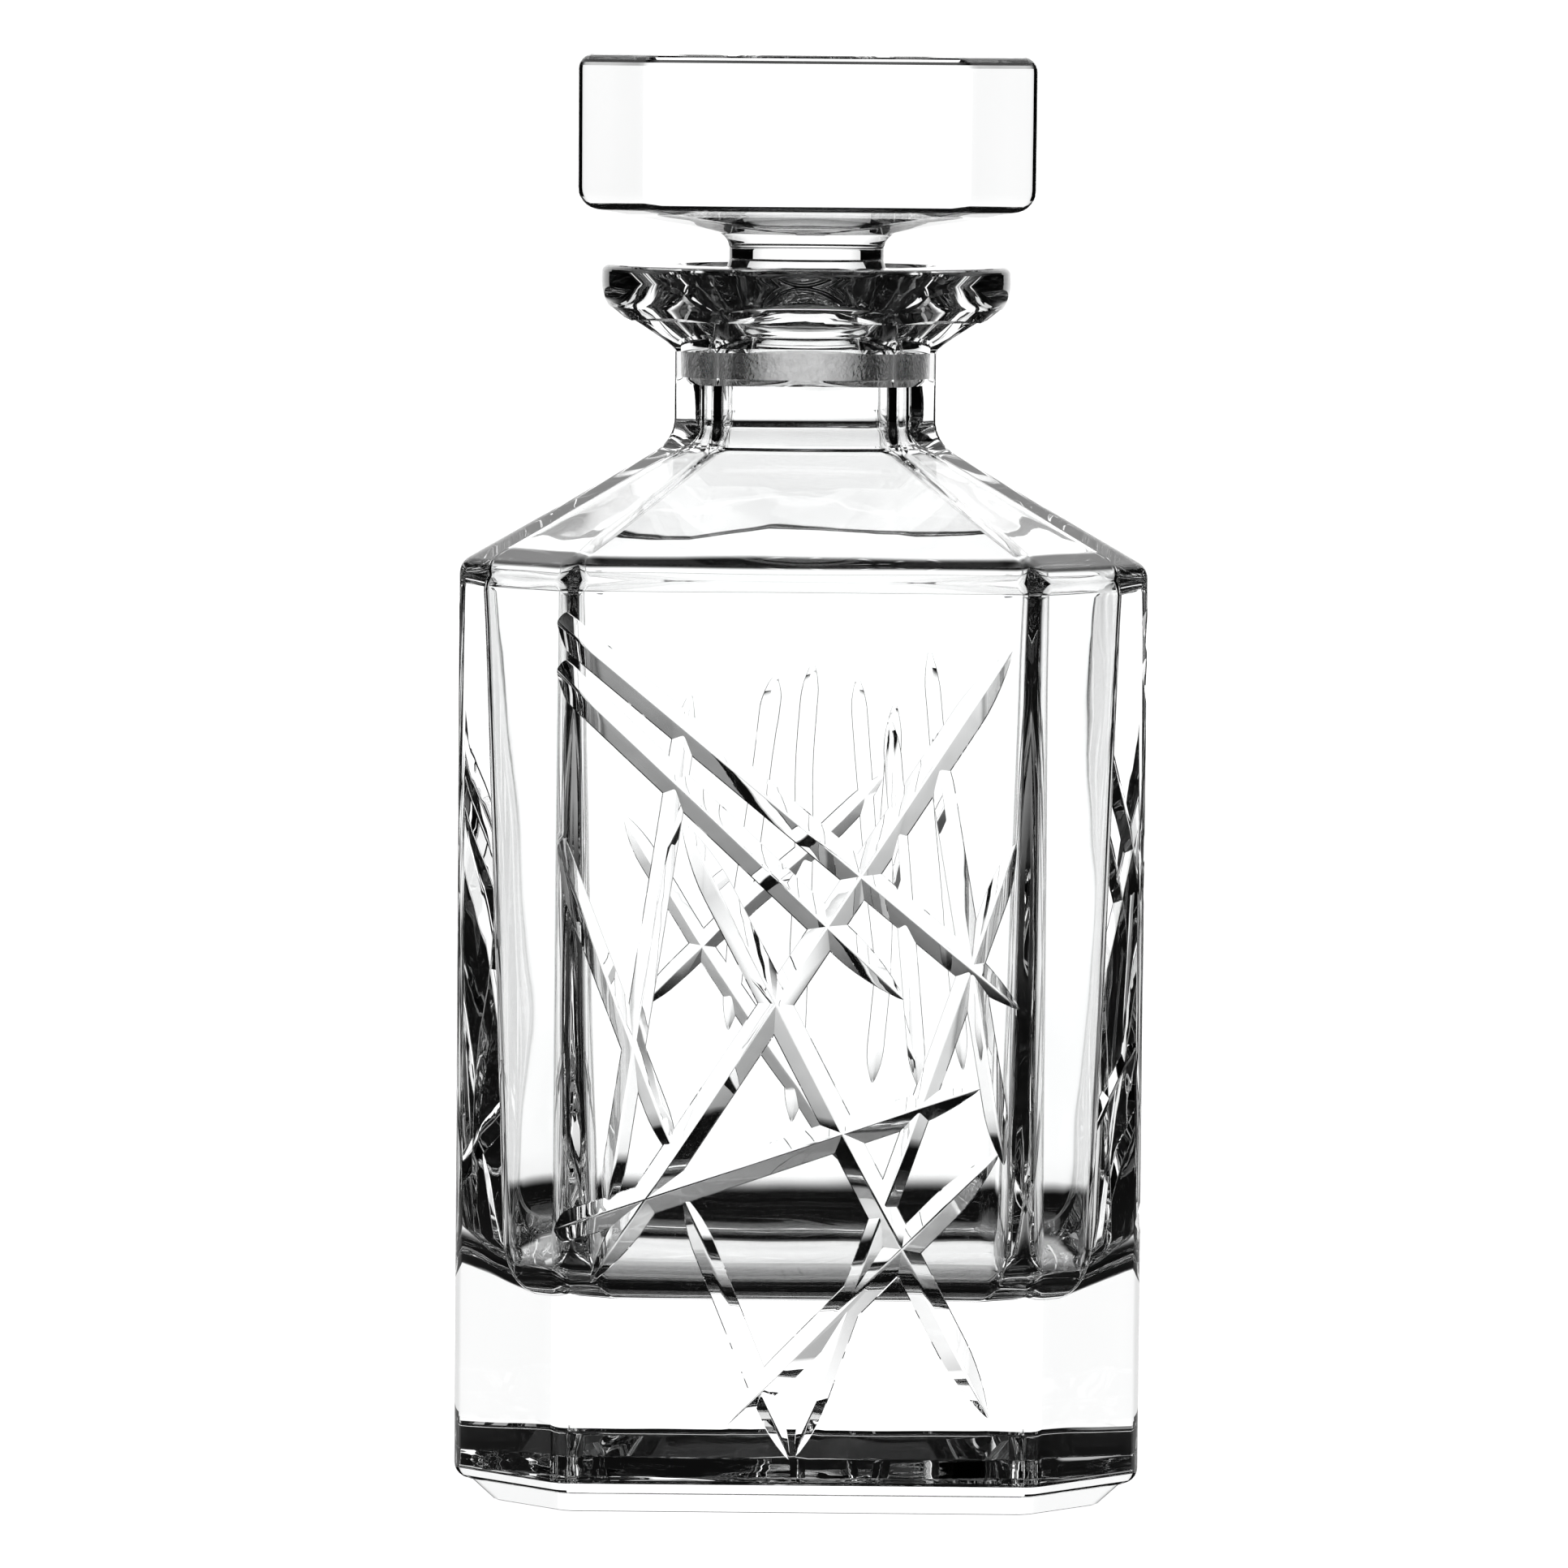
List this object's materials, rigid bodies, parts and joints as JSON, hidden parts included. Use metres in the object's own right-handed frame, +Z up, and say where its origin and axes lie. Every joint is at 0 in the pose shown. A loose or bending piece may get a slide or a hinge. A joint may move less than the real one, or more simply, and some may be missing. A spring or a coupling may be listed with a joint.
{
  "type": "cut crystal decanter",
  "caption": "Square cut-crystal whisky decanter with chamfered corners, mitre-cut faces, flared collar and a solid square ground-in stopper.",
  "frame": {"origin": "centre of the foot, on the plane it stands on", "axes": "+Z up along the neck and stopper axis; -Y out of the front face; +X to the right seen from the front"},
  "size_m": [0.1, 0.1, 0.211],
  "materials": {
    "crystal": "polished"
  },
  "bodies": {
    "bottle": {"bottle": "crystal"},
    "stopper": {"stopper": "crystal"}
  },
  "joints": [
    {"name": "stopper_lift", "type": "slide", "parent": "bottle", "child": "stopper", "axis": [0, 0, 1], "range_m": [0, 0.055]}
  ]
}
